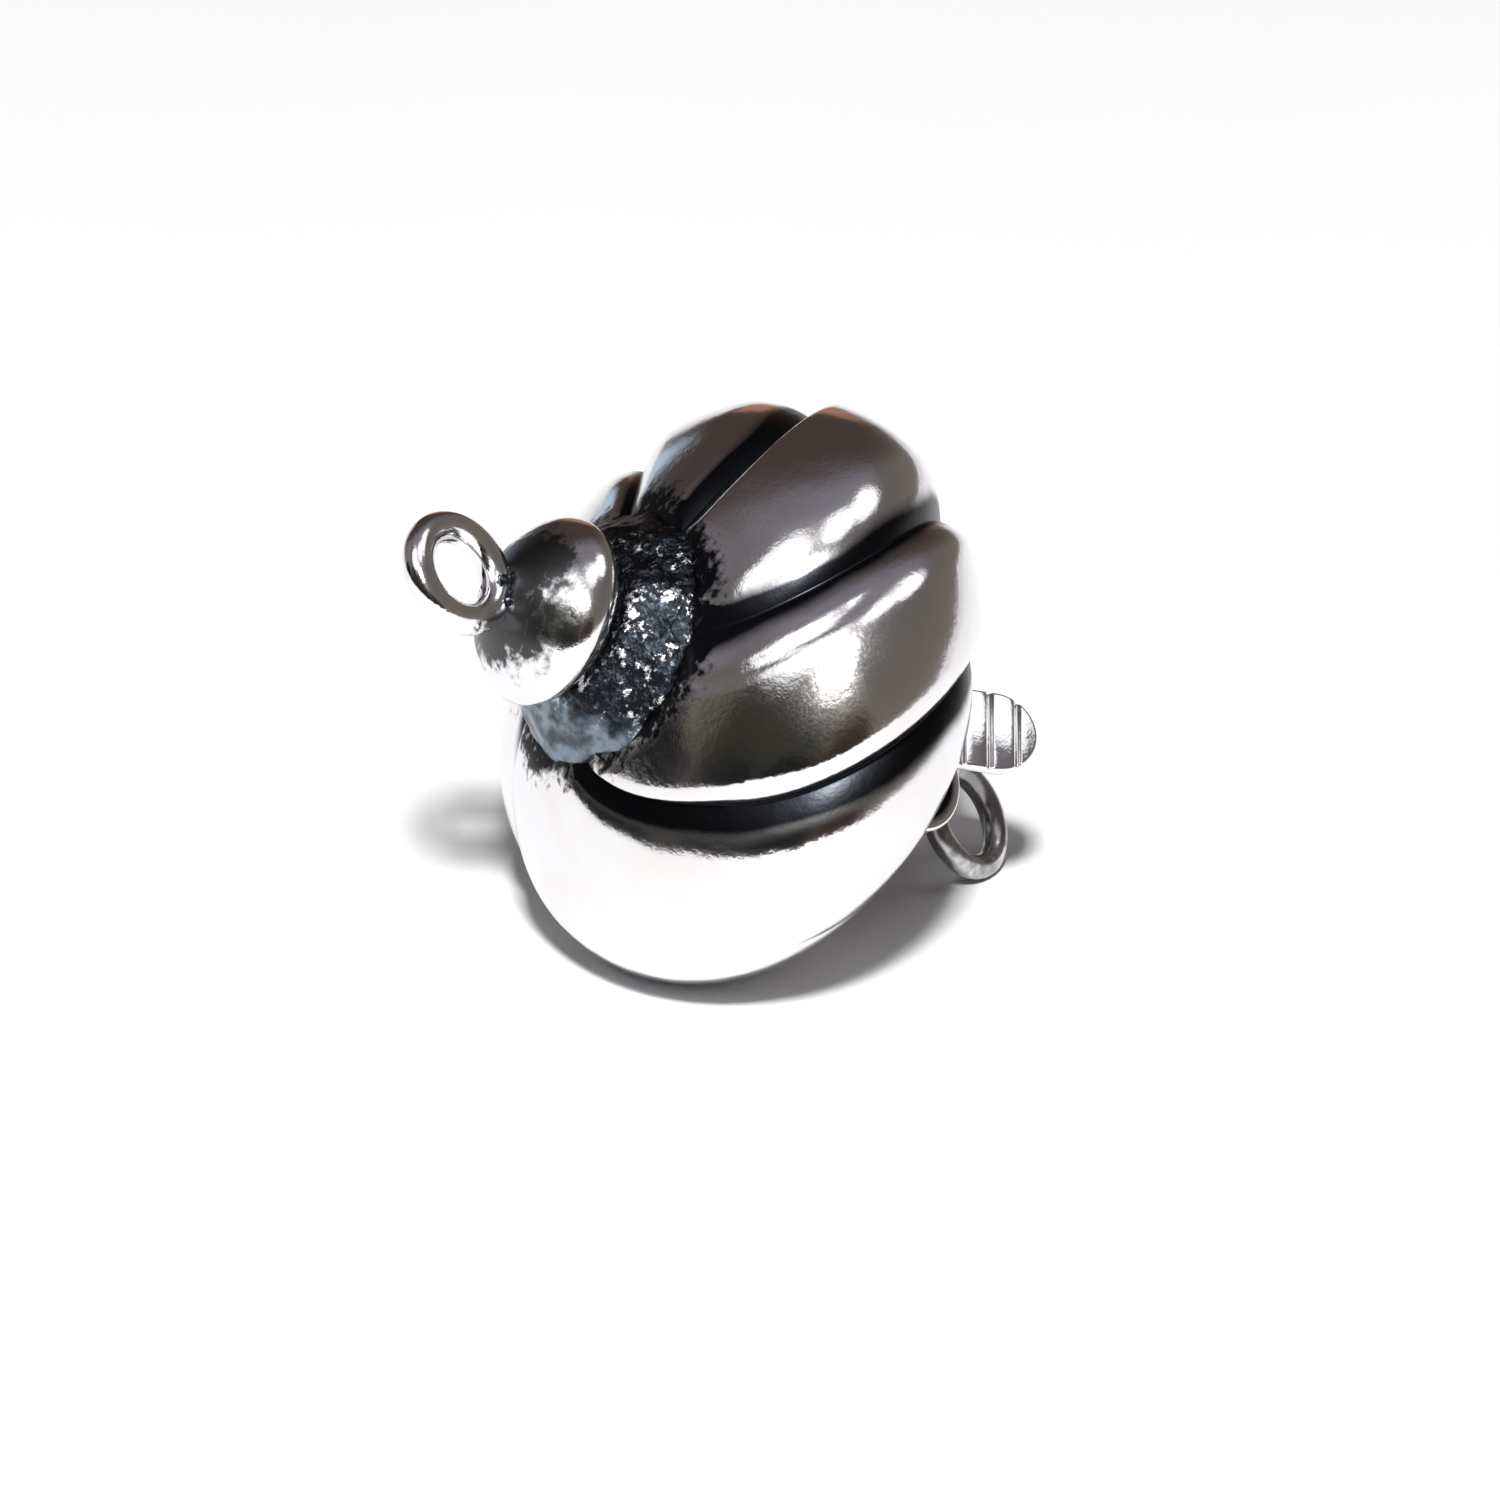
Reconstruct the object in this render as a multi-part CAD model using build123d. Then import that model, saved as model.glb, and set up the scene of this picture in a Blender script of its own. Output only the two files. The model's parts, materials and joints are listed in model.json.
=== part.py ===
from build123d import *
import os
from math import asin, atan2, cos, degrees, hypot, radians, sin, sqrt, tan

# Round safety clasp: a hollow ball with seven twisted lobes, a bell cap with a ring soldered
# on at one end, and a folded tongue with a thumb tab and a second ring at the other.
# All pieces are drawn along the clasp's own axis, with the tongue towards +X and the rings
# facing +Z, and are then laid down as the clasp rests on a table.

# Ball
ball_diameter = 14.0
ball_length = 8.6
wall = 0.42
groove_depth = 0.62
lobe_twist = 108.0
ring_end_angle = 28.0
groove_fade_angle = 110.0

# Collar, waist and bell cap at the ring end
collar_diameter = 5.9
collar_rim_diameter = 4.6
collar_length = 0.95
waist_diameter = 3.5
waist_reach = 1.4
cap_diameter = 4.48
cap_length = 2.0

# Closed wire rings: the tongue's is of thinner wire, dropped below the tongue and drooping
ring_outer_diameter = 3.0
cap_wire_diameter = 0.74
tongue_wire_diameter = 0.6
ring_land = 0.24
ring_overlap = 0.45
ring_droop = 10.0
ring_drop = 0.9
solder_diameter = 0.9

# Tongue: its overhang is from the slot to the middle of its round end
tongue_width = 3.2
tongue_thickness = 0.4
tongue_drop = 0.4
tongue_overhang = 1.48
fold_roll_diameter = 0.5

# Spring leaf with the thumb tab: its lift is its height above the axis in the slot
leaf_width = 2.9
leaf_thickness = 0.3
leaf_lift = 1.46
hook_end_angle = 280.0
tab_width = 2.05
tab_length = 2.85
tab_slope = 23.6
tab_bend_radius = 1.2
grip_line_diameter = 0.18
grip_line_spacing = 0.62
grip_line_margin = 0.45
grip_lines = 3

# Clearances, and the least width of the flat rim round the slot
slot_clearance = 0.15
slot_rim = 0.05
roll_clearance = 0.05
fold_clearance = 0.3
shoulder_clearance = 0.35

# How it lies on a table, in degrees
roll = 45.1
tilt = 31.1

ball_radius = ball_diameter / 2
half_length = ball_length / 2

# Grooves around the ball at its widest, each with the lobe that follows it.
# angle: degrees from +Z towards +Y. depth: share of the groove depth. twist: share of the twist.
# rise and fall: shares of the lobe's width that turn down into the groove before and after it.
# One of the seven is wide and shallow.
GROOVES = (
    (-145.0, 1.00, 0.68, 0.27, 0.45),
    (-91.5, 0.45, 1.00, 0.45, 0.45),
    (-33.5, 1.00, 1.45, 0.27, 0.32),
    (14.5, 0.95, 1.00, 0.45, 0.27),
    (59.5, 1.00, 0.92, 0.42, 0.27),
    (117.0, 1.00, 1.00, 0.27, 0.27),
    (171.0, 0.90, 0.85, 0.27, 0.27),
)
# Sections that each wall of the ball is lofted through
SECTIONS = 14
# Share of the groove depth that is left at the tongue end, and how late it fades
FADED_DEPTH = 0.15
FADE_POWER = 1.5

# Outline of the bell cap, from the waist outwards.
# along: share of the cap's length. radius: share of the cap's radius.
CAP_OUTLINE = (
    (0.05, 0.92),
    (0.25, 1.00),
    (0.42, 0.94),
    (0.60, 0.80),
    (0.77, 0.60),
    (0.90, 0.38),
)

# The slot that both leaves pass through, and the flat end of the ball around it
hook_radius = fold_roll_diameter / 2 + roll_clearance + leaf_thickness / 2
hook_reach = hook_radius + leaf_thickness / 2
slot_width = max(tongue_width, leaf_width) + 2 * slot_clearance
slot_bottom = -tongue_drop - hook_reach - slot_clearance
slot_top = leaf_lift + leaf_thickness / 2 + slot_clearance
slot_corner = hypot(slot_width / 2, max(slot_top, -slot_bottom))
mouth_radius = slot_corner + slot_rim + groove_depth * FADED_DEPTH
tongue_end_angle = 180 - degrees(asin(mouth_radius / (ball_radius - wall)))

# Places along the axis
ring_end = -half_length * cos(radians(ring_end_angle))
tongue_end = -half_length * cos(radians(tongue_end_angle))
fold_x = -(half_length - wall) * cos(radians(ring_end_angle)) + fold_clearance + hook_reach
tongue_x = tongue_end + tongue_overhang
tab_x = tongue_end + tab_length
waist_x = ring_end - waist_reach
cap_tip = waist_x - cap_length
cap_ring_x = cap_tip - (ring_outer_diameter - cap_wire_diameter) / 2
tongue_ring_x = tongue_x + tongue_width / 2 - ring_overlap + ring_outer_diameter / 2
tongue_ring_z = -tongue_drop - ring_drop

# Slope of the leaf, which runs straight from the round of its hook to its place in the slot
leaf_run = tongue_end - fold_x
leaf_rise = leaf_lift + tongue_drop
leaf_slope = degrees(atan2(leaf_rise, leaf_run) - asin(hook_radius / hypot(leaf_run, leaf_rise)))


def around_axis(along, radius, angle):
    """A point at an angle about the clasp's axis, measured from +Z towards +Y."""
    return Vector(along, radius * sin(radians(angle)), radius * cos(radians(angle)))


def flank_radius(crest, depth, flank, angle):
    """Distance from the axis on the round flank that leaves the crest circle at angle 0."""
    bottom = crest - depth
    drop = crest - bottom * cos(radians(flank))
    chord_squared = bottom**2 + crest**2 - 2 * bottom * crest * cos(radians(flank))
    bend = chord_squared / (2 * drop)
    centre = crest - bend
    return centre * cos(radians(angle)) + sqrt(bend**2 - (centre * sin(radians(angle))) ** 2)


def lobed_section(polar, inset):
    """One closed section of the ball: each lobe is a top arc between two flank arcs."""
    x = -cos(radians(polar)) * (half_length - inset)
    crest = sin(radians(polar)) * (ball_radius - inset)
    turn = lobe_twist * (polar - 90) / 180
    faded = max(0, polar - groove_fade_angle) / (tongue_end_angle - groove_fade_angle)
    depth = groove_depth * (1 - (1 - FADED_DEPTH) * faded**FADE_POWER)
    angles = [angle + twist * turn for angle, share, twist, rise, fall in GROOVES]
    angles.append(angles[0] + 360)
    depths = [share * depth for angle, share, twist, rise, fall in GROOVES]
    depths.append(depths[0])
    edges = []
    for i, (angle, share, twist, rise, fall) in enumerate(GROOVES):
        start, end = angles[i], angles[i + 1]
        rise *= end - start
        fall *= end - start
        groove_in = around_axis(x, crest - depths[i], start)
        groove_out = around_axis(x, crest - depths[i + 1], end)
        flank_in = around_axis(x, flank_radius(crest, depths[i], rise, rise / 2), start + rise / 2)
        flank_out = around_axis(x, flank_radius(crest, depths[i + 1], fall, fall / 2), end - fall / 2)
        shoulder_in = around_axis(x, crest, start + rise)
        shoulder_out = around_axis(x, crest, end - fall)
        top = around_axis(x, crest, (start + rise + end - fall) / 2)
        edges.append(ThreePointArc(groove_in, flank_in, shoulder_in))
        edges.append(ThreePointArc(shoulder_in, top, shoulder_out))
        edges.append(ThreePointArc(shoulder_out, flank_out, groove_out))
    return Wire(edges)


def lobed_wall(inset):
    """A loft through the ball's sections, evenly spaced in angle from end to end."""
    step = (tongue_end_angle - ring_end_angle) / (SECTIONS - 1)
    return Solid.make_loft([lobed_section(ring_end_angle + i * step, inset) for i in range(SECTIONS)])


def flat_ends(solid):
    """The two flat faces across the axis, the ring end's first."""
    flat = [face for face in solid.faces() if face.geom_type == GeomType.PLANE]
    across = [face for face in flat if abs(face.normal_at().X) > 0.5]
    return sorted(across, key=lambda face: face.center().X)


def round_faces(solid):
    """The faces of a loft without its flat ends."""
    return [face for face in solid.faces() if face.geom_type != GeomType.PLANE]


def hollow_ball():
    """The lobed ball: an outer and an inner wall, joined through the slot in the tongue end."""
    outside = lobed_wall(0)
    inside = lobed_wall(wall)
    faces = round_faces(outside) + round_faces(inside)
    slot = tongue_slot(flat_ends(inside)[1].center().X, tongue_end)
    for solid, edge in ((inside, flat_ends(slot)[0]), (outside, flat_ends(slot)[1])):
        ring_side, tongue_side = flat_ends(solid)
        faces.append(ring_side)
        faces.append(Face(tongue_side.outer_wire(), [edge.outer_wire()]))
    faces += [face for face in slot.faces() if abs(face.normal_at().X) < 0.5]
    return Solid(Shell(faces))


def ring_hole(wire):
    """Radius of the hole of a ring of wire, reamed to a short plain land."""
    return (ring_outer_diameter - wire) / 2 - sqrt((wire / 2) ** 2 - (ring_land / 2) ** 2)


def wire_ring(wire):
    """A closed ring of round wire of the given diameter, with its reamed hole."""
    return Torus((ring_outer_diameter - wire) / 2, wire / 2) - Cylinder(ring_hole(wire), wire)


def bell_cap():
    """Collar, waist and bell cap, turned about the clasp's axis."""
    outline = [(waist_x - along * cap_length, share * cap_diameter / 2) for along, share in CAP_OUTLINE]
    collar = (ring_end, collar_diameter / 2)
    rim = (ring_end - collar_length, collar_rim_diameter / 2)
    with BuildSketch() as half:
        with BuildLine():
            Polyline((ring_end, 0), collar, rim, (waist_x, waist_diameter / 2), outline[0])
            bell = Spline(outline)
            TangentArc(bell @ 1, (cap_tip, 0), tangent=bell % 1)
            Line((cap_tip, 0), (ring_end, 0))
        make_face()
    return revolve(half.sketch, Axis.X, 360)


def tab_height(x):
    """Height of the thumb tab's middle surface, which is bent up from the leaf at the slot."""
    return leaf_lift + (x - tongue_end) * tan(radians(tab_slope))


def tongue_slot(inner, outer):
    """The opening that both leaves pass through, between two places along the axis."""
    opening = Box(outer - inner, slot_width, slot_top - slot_bottom)
    return Pos((inner + outer) / 2, 0, (slot_bottom + slot_top) / 2) * opening


def ball_shell():
    """Hollow lobed ball with the bell cap and its ring soldered on."""
    return hollow_ball() + bell_cap() + Pos(cap_ring_x, 0, 0) * wire_ring(cap_wire_diameter)


def tongue_plate():
    """Lower leaf: a flat strip with a round end, a rolled inner end and the drooping ring."""
    strip = Pos((tongue_x + fold_x) / 2, 0) * Box(tongue_x - fold_x, tongue_width, tongue_thickness)
    strip += Pos(tongue_x, 0) * Cylinder(tongue_width / 2, tongue_thickness)
    strip += Pos(fold_x, 0) * Rot(90, 0, 0) * Cylinder(fold_roll_diameter / 2, tongue_width)
    ring_side = (ring_outer_diameter - tongue_wire_diameter) / 2
    solder_x = tongue_ring_x - ring_side * cos(radians(ring_droop))
    solder_z = ring_side * sin(radians(ring_droop)) - ring_drop
    solder = Pos(solder_x, 0, solder_z / 2) * Cylinder(solder_diameter / 2, -solder_z)
    ring = Pos(tongue_ring_x, 0, tongue_ring_z) * Rot(0, ring_droop, 0) * wire_ring(tongue_wire_diameter)
    return Pos(0, 0, -tongue_drop) * (strip + solder) + ring


def leaf_outline():
    """The spring leaf seen from above: a wide strip with shoulders and a round thumb tab."""
    back = fold_x - 2 * hook_reach
    shoulder = tongue_end - wall - shoulder_clearance
    tab_centre = tab_x - tab_width / 2
    outline = Pos((shoulder + back) / 2, 0) * Rectangle(shoulder - back, leaf_width)
    outline += Pos((shoulder + tab_centre) / 2, 0) * Rectangle(tab_centre - shoulder, tab_width)
    return outline + Pos(tab_centre, 0) * Circle(tab_width / 2)


def press_leaf():
    """Upper leaf: hooks round the rolled end, rises to the slot and ends in the thumb tab."""
    hook_start = 90 + leaf_slope
    with BuildLine() as path:
        hook = CenterArc((fold_x, -tongue_drop), hook_radius, hook_start, hook_end_angle - hook_start)
        FilletPolyline(hook @ 0, (tongue_end, leaf_lift), (tab_x, tab_height(tab_x)), radius=tab_bend_radius)
    with BuildSketch(Plane.XZ) as profile:
        trace(path.line, leaf_thickness)
    side = extrude(profile.sketch, amount=leaf_width, both=True)
    leaf = side & Pos(0, 0, -ball_radius) * extrude(leaf_outline(), ball_diameter)
    for i in range(grip_lines):
        x = tab_x - grip_line_margin - i * grip_line_spacing
        top = tab_height(x) + leaf_thickness / 2 / cos(radians(tab_slope))
        leaf -= Pos(x, 0, top) * Rot(90, 0, 0) * Cylinder(grip_line_diameter / 2, tab_width)
    return leaf


def laid_down(part):
    """The part turned from the clasp's own axes to the way it lies on a table."""
    return Rot(0, tilt, 0) * Rot(roll, 0, 0) * part


nodes = {
    "ball_shell": laid_down(ball_shell()),
    "tongue_plate": laid_down(tongue_plate()),
    "press_leaf": laid_down(press_leaf()),
}
box = Compound(list(nodes.values())).bounding_box()
foot_centre = Pos(-box.center().X, -box.center().Y, -box.min.Z)

os.makedirs("parts", exist_ok=True)
for name, part in nodes.items():
    export_step(foot_centre * part, f"parts/{name}.step")
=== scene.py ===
import json
from math import asin, atan2, cos, hypot, pi, radians, sin, sqrt, tan

import bmesh
import bpy
from bpy.props import FloatProperty, FloatVectorProperty, IntProperty, PointerProperty
from mathutils import Matrix, Vector, noise


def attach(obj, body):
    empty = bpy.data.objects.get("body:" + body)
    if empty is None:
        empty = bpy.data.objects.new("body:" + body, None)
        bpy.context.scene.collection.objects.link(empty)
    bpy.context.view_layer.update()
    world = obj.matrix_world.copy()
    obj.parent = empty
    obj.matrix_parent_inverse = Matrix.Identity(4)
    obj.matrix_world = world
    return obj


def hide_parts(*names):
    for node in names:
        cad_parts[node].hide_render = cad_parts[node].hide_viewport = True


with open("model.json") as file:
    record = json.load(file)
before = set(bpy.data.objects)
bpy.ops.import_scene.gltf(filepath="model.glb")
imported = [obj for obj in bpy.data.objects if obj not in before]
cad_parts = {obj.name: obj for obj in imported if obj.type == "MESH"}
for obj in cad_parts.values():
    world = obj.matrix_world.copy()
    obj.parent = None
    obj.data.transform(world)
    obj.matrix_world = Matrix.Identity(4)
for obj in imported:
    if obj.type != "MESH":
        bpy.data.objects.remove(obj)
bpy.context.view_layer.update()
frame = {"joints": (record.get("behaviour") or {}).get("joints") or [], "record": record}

bl_info = {
    "name": "Round safety clasp",
    "version": (1, 0, 0),
    "blender": (4, 5, 0),
    "location": "View3D > Sidebar > Clasp",
    "description": "Builds the looks of a silver ball clasp with twisted lobes, piece by piece",
    "category": "Object",
}

MM = 0.001
# Points of a mesh that lie closer than this are made one
WELD = 0.002 * MM

# The clasp's own axes in the row frame: along the ball's axis towards the tongue, the way the
# rings face, and across both. Every piece is drawn in these axes and then laid down by TO_ROW.
MOUNTS = {mount["name"]: mount for mount in frame["record"]["mounts"]}
JOINTS = {joint["name"]: joint for joint in frame["joints"]}
ALONG = Vector(JOINTS["tongue_slide"]["axis"]).normalized()
FACING = Vector(MOUNTS["cap_ring"]["axis"]).normalized()
ACROSS = FACING.cross(ALONG)
CAP_RING_REACH = 8.327 * MM
BALL_CENTRE = Vector(MOUNTS["cap_ring"]["pos_m"]) + CAP_RING_REACH * ALONG
TO_ROW = Matrix.Translation(BALL_CENTRE) @ Matrix((ALONG, ACROSS, FACING)).transposed().to_4x4()


def in_own_axes(point):
    """A point of the row frame in the clasp's own axes."""
    return TO_ROW.inverted() @ Vector(point)


TONGUE_RING = in_own_axes(MOUNTS["tongue_ring"]["pos_m"])
TONGUE_RING_FACING = TO_ROW.to_3x3().inverted() @ Vector(MOUNTS["tongue_ring"]["axis"])
FOLD = in_own_axes(JOINTS["tab_press"]["pos_m"])
# The way towards the collar's side that faces the table, where a lighter bluish painted reflection
# of the table is laid over its black
SHEENED_ANGLE = radians(-125)
SHEENED_SIDE = TO_ROW.to_3x3() @ Vector((0, sin(SHEENED_ANGLE), cos(SHEENED_ANGLE)))

# Grooves of the ball, each with the lobe that follows it, from +facing towards +across.
# angle: degrees at the ball's widest. depth and twist: shares of the ball's own values.
# rise and fall: shares of the lobe that its two flanks take. bend: how late each flank drops,
# from 1 for a crisp edge and an even slope. black: how far the black reaches up each flank;
# it is patina at the groove's bottom and a painted dark reflection of the room above it.
# hook: extra degrees that the groove turns at the ring end. crease: share of the groove's depth
# of a fine line beside the lobe's second flank.
GROOVE_COLUMNS = (
    "angle", "depth", "twist", "rise", "rise_bend", "rise_black",
    "fall", "fall_bend", "fall_black", "hook", "crease",
)
GROOVE_ROWS = (
    (-145.0, 1.00, 0.68, 0.27, 2.0, 0.70, 0.45, 2.0, 0.00, 0.0, 0.00),
    (-91.5, 0.18, 1.00, 0.50, 2.0, 0.00, 0.50, 2.0, 1.40, 0.0, 0.00),
    (-36.0, 1.00, 1.45, 0.22, 2.0, 0.74, 0.28, 1.7, 0.95, -24.0, 0.17),
    (14.5, 0.95, 1.00, 0.45, 2.2, 1.30, 0.10, 1.1, 0.60, 0.0, 0.00),
    (61.5, 1.00, 0.70, 0.42, 1.8, 1.60, 0.20, 1.6, 0.75, 0.0, 0.00),
    (117.0, 1.00, 1.00, 0.27, 2.0, 0.85, 0.27, 2.0, 0.90, 0.0, 0.00),
    (171.0, 0.90, 0.85, 0.27, 2.0, 0.90, 0.27, 2.0, 0.70, 0.0, 0.00),
)
GROOVES = [dict(zip(GROOVE_COLUMNS, row)) for row in GROOVE_ROWS]

# Outline of the collar, the waist and the bell cap, from the ball outwards.
# along: distance from the ball's middle. radius: distance from the axis. Both in millimetres.
COLLAR_OUTLINE = (
    (3.40, 2.96),
    (3.78, 3.02),
    (4.06, 2.86),
    (4.40, 2.62),
    (4.70, 2.36),
    (4.94, 2.12),
    (5.08, 1.80),
)
CAP_OUTLINE = (
    (5.08, 1.70),
    (5.18, 1.76),
    (5.26, 2.02),
    (5.42, 2.18),
    (5.68, 2.24),
    (6.02, 2.12),
    (6.38, 1.81),
    (6.72, 1.37),
    (6.96, 0.94),
    (7.12, 0.55),
    (7.18, 0.00),
)

# What the silver mirrors above the table: the room's colour by the sine of the height above the
# horizon, and round patches in it. Angles are in degrees, and azimuth 0 is in front.
ROOM_HEIGHTS = (
    (0.00, (1.00, 1.00, 1.05, 1)),
    (0.02, (0.45, 0.42, 0.42, 1)),
    (0.06, (0.20, 0.18, 0.18, 1)),
    (0.15, (0.17, 0.15, 0.13, 1)),
    (0.50, (0.14, 0.125, 0.11, 1)),
    (0.72, (0.13, 0.12, 0.12, 1)),
    (0.87, (0.20, 0.18, 0.20, 1)),
    (1.00, (0.34, 0.32, 0.36, 1)),
)
ROOM_PATCHES = (
    {"azimuth": 170.0, "elevation": 64.0, "inner": 12.0, "outer": 34.0, "colour": (0.19, 0.18, 0.21)},
    {"azimuth": 168.0, "elevation": 28.0, "inner": 22.0, "outer": 46.0, "colour": (0.060, 0.045, 0.039)},
    {"azimuth": -128.0, "elevation": 28.0, "inner": 12.0, "outer": 24.0, "colour": (0.19, 0.165, 0.20)},
    {"azimuth": -112.0, "elevation": 1.0, "inner": 14.0, "outer": 24.0, "colour": (0.010, 0.010, 0.013)},
    {"azimuth": -60.0, "elevation": 10.0, "inner": 26.0, "outer": 40.0, "colour": (0.032, 0.030, 0.022)},
    {"azimuth": -76.0, "elevation": -4.0, "inner": 14.0, "outer": 22.0, "colour": (0.009, 0.009, 0.010)},
    {"azimuth": -44.0, "elevation": -4.0, "inner": 16.0, "outer": 24.0, "colour": (0.009, 0.009, 0.009)},
    {"azimuth": -12.0, "elevation": 6.0, "inner": 10.0, "outer": 24.0, "colour": (0.036, 0.022, 0.017)},
    {"azimuth": 152.0, "elevation": 8.0, "inner": 3.0, "outer": 11.0, "colour": (0.40, 0.20, 0.13)},
    {"azimuth": -178.0, "elevation": 3.0, "inner": 5.0, "outer": 14.0, "colour": (0.50, 0.60, 0.72)},
    {"azimuth": -72.0, "elevation": 58.0, "inner": 15.0, "outer": 22.0, "colour": (1.25, 1.25, 1.27)},
    {"azimuth": 20.0, "elevation": 74.0, "inner": 10.0, "outer": 16.0, "colour": (1.25, 1.25, 1.27)},
    {"azimuth": 74.0, "elevation": 61.0, "inner": 11.0, "outer": 16.0, "colour": (1.25, 1.25, 1.27)},
)

# The one lamp, a soft square in front of the clasp. Angles are in degrees.
KEY_LIGHT = {
    "azimuth": -28, "elevation": 48, "distance": 0.8, "width": 0.08, "height": 0.08, "watts": 13.2,
    "colour": (1.0, 1.0, 0.98),
}


class Term:
    """A node's output. Arithmetic on it adds Math nodes to its tree."""

    def __init__(self, tree, socket):
        self.tree = tree
        self.socket = socket

    @classmethod
    def node(cls, tree, kind, settings=None, inputs=None, output=0):
        """Adds a node, makes its settings first, then fills or links its inputs, and gives an output."""
        made = tree.nodes.new(kind)
        for name, value in (settings or {}).items():
            if name == "stops":
                fill_ramp(made.color_ramp, value)
            elif name == "items":
                for _ in range(value - len(made.index_switch_items)):
                    made.index_switch_items.new()
            else:
                setattr(made, name, value)
        for key, value in (inputs or {}).items():
            if isinstance(value, Term):
                tree.links.new(value.socket, made.inputs[key])
            else:
                made.inputs[key].default_value = value
        return cls(tree, made.outputs[output])

    def maths(self, operation, *terms):
        """A Math node of the operation, on this term and then the others."""
        inputs = dict(enumerate((self, *terms)))
        return Term.node(self.tree, "ShaderNodeMath", {"operation": operation}, inputs)

    def reflected(self, operation, other):
        """A Math node with the other value first."""
        return Term.node(self.tree, "ShaderNodeMath", {"operation": operation}, {0: other, 1: self})

    def __add__(self, other):
        return self.maths("ADD", other)

    def __radd__(self, other):
        return self.reflected("ADD", other)

    def __sub__(self, other):
        return self.maths("SUBTRACT", other)

    def __rsub__(self, other):
        return self.reflected("SUBTRACT", other)

    def __mul__(self, other):
        return self.maths("MULTIPLY", other)

    def __rmul__(self, other):
        return self.reflected("MULTIPLY", other)

    def __truediv__(self, other):
        return self.maths("DIVIDE", other)

    def __rtruediv__(self, other):
        return self.reflected("DIVIDE", other)

    def __pow__(self, other):
        return self.maths("POWER", other)

    def __neg__(self):
        return self.maths("MULTIPLY", -1.0)

    def clamped(self):
        """The term held between 0 and 1."""
        return self.maths("MAXIMUM", 0.0).maths("MINIMUM", 1.0)

    def between(self, low, high):
        """0 below low, 1 above high and a smooth step between them."""
        inputs = {"Value": self, "From Min": low, "From Max": high}
        return Term.node(self.tree, "ShaderNodeMapRange", {"interpolation_type": "SMOOTHSTEP"}, inputs)

    def blended(self, low, high):
        """Two values or terms, mixed by this term."""
        return low + (high - low) * self

    def colours(self, low, high):
        """Two colours or colour terms, mixed by this term."""
        names = {"Factor": self, 6: low, 7: high}
        return Term.node(self.tree, "ShaderNodeMix", {"data_type": "RGBA"}, names, 2)


def fill_ramp(ramp, stops):
    """Sets a colour ramp's stops, each a place and a colour."""
    while len(ramp.elements) < len(stops):
        ramp.elements.new(1.0)
    for element, (place, colour) in zip(ramp.elements, stops):
        element.position = place
        element.color = colour


def metres(name, description, default, **limits):
    """A property for a length in metres, shown to five places."""
    return FloatProperty(
        name=name, description=description, default=default, unit="LENGTH", precision=5, **limits,
    )


class ClaspBallSizes(bpy.types.PropertyGroup):
    """Sizes of the lobed ball."""

    diameter: metres("Diameter", "Across the crests of the lobes", 14 * MM, min=5 * MM)
    length: metres("Length", "Pole to pole along the clasp's axis", 8.6 * MM, min=3 * MM)
    wall: metres("Wall", "Thickness of the ball's metal", 0.42 * MM, min=0.1 * MM)
    groove_depth: metres("Groove depth", "Depth of the deepest groove", 0.62 * MM, min=0.0)
    twist: FloatProperty(
        name="Twist", description="Turn of the lobes from pole to pole", default=radians(108.0),
        subtype="ANGLE",
    )
    ring_end: FloatProperty(
        name="Ring end", description="Angle from the pole where the lobes start",
        default=radians(28.0), subtype="ANGLE",
    )
    tongue_end: FloatProperty(
        name="Tongue end", description="Angle from the ring's pole where the lobes end",
        default=radians(156.49), subtype="ANGLE",
    )
    fade_from: FloatProperty(
        name="Fade from", description="Angle from the ring's pole where the grooves start to fade",
        default=radians(110.0), subtype="ANGLE",
    )
    faded_share: FloatProperty(
        name="Faded share", description="Share of the groove depth left at the tongue end",
        default=0.15, min=0.0, max=1.0, subtype="FACTOR",
    )
    lobe_columns: IntProperty(
        name="Columns", description="Columns of faces in each lobe", default=42, min=8, max=80,
    )
    rows: IntProperty(
        name="Rows", description="Rows of faces from end to end", default=120, min=20, max=300,
    )


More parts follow.
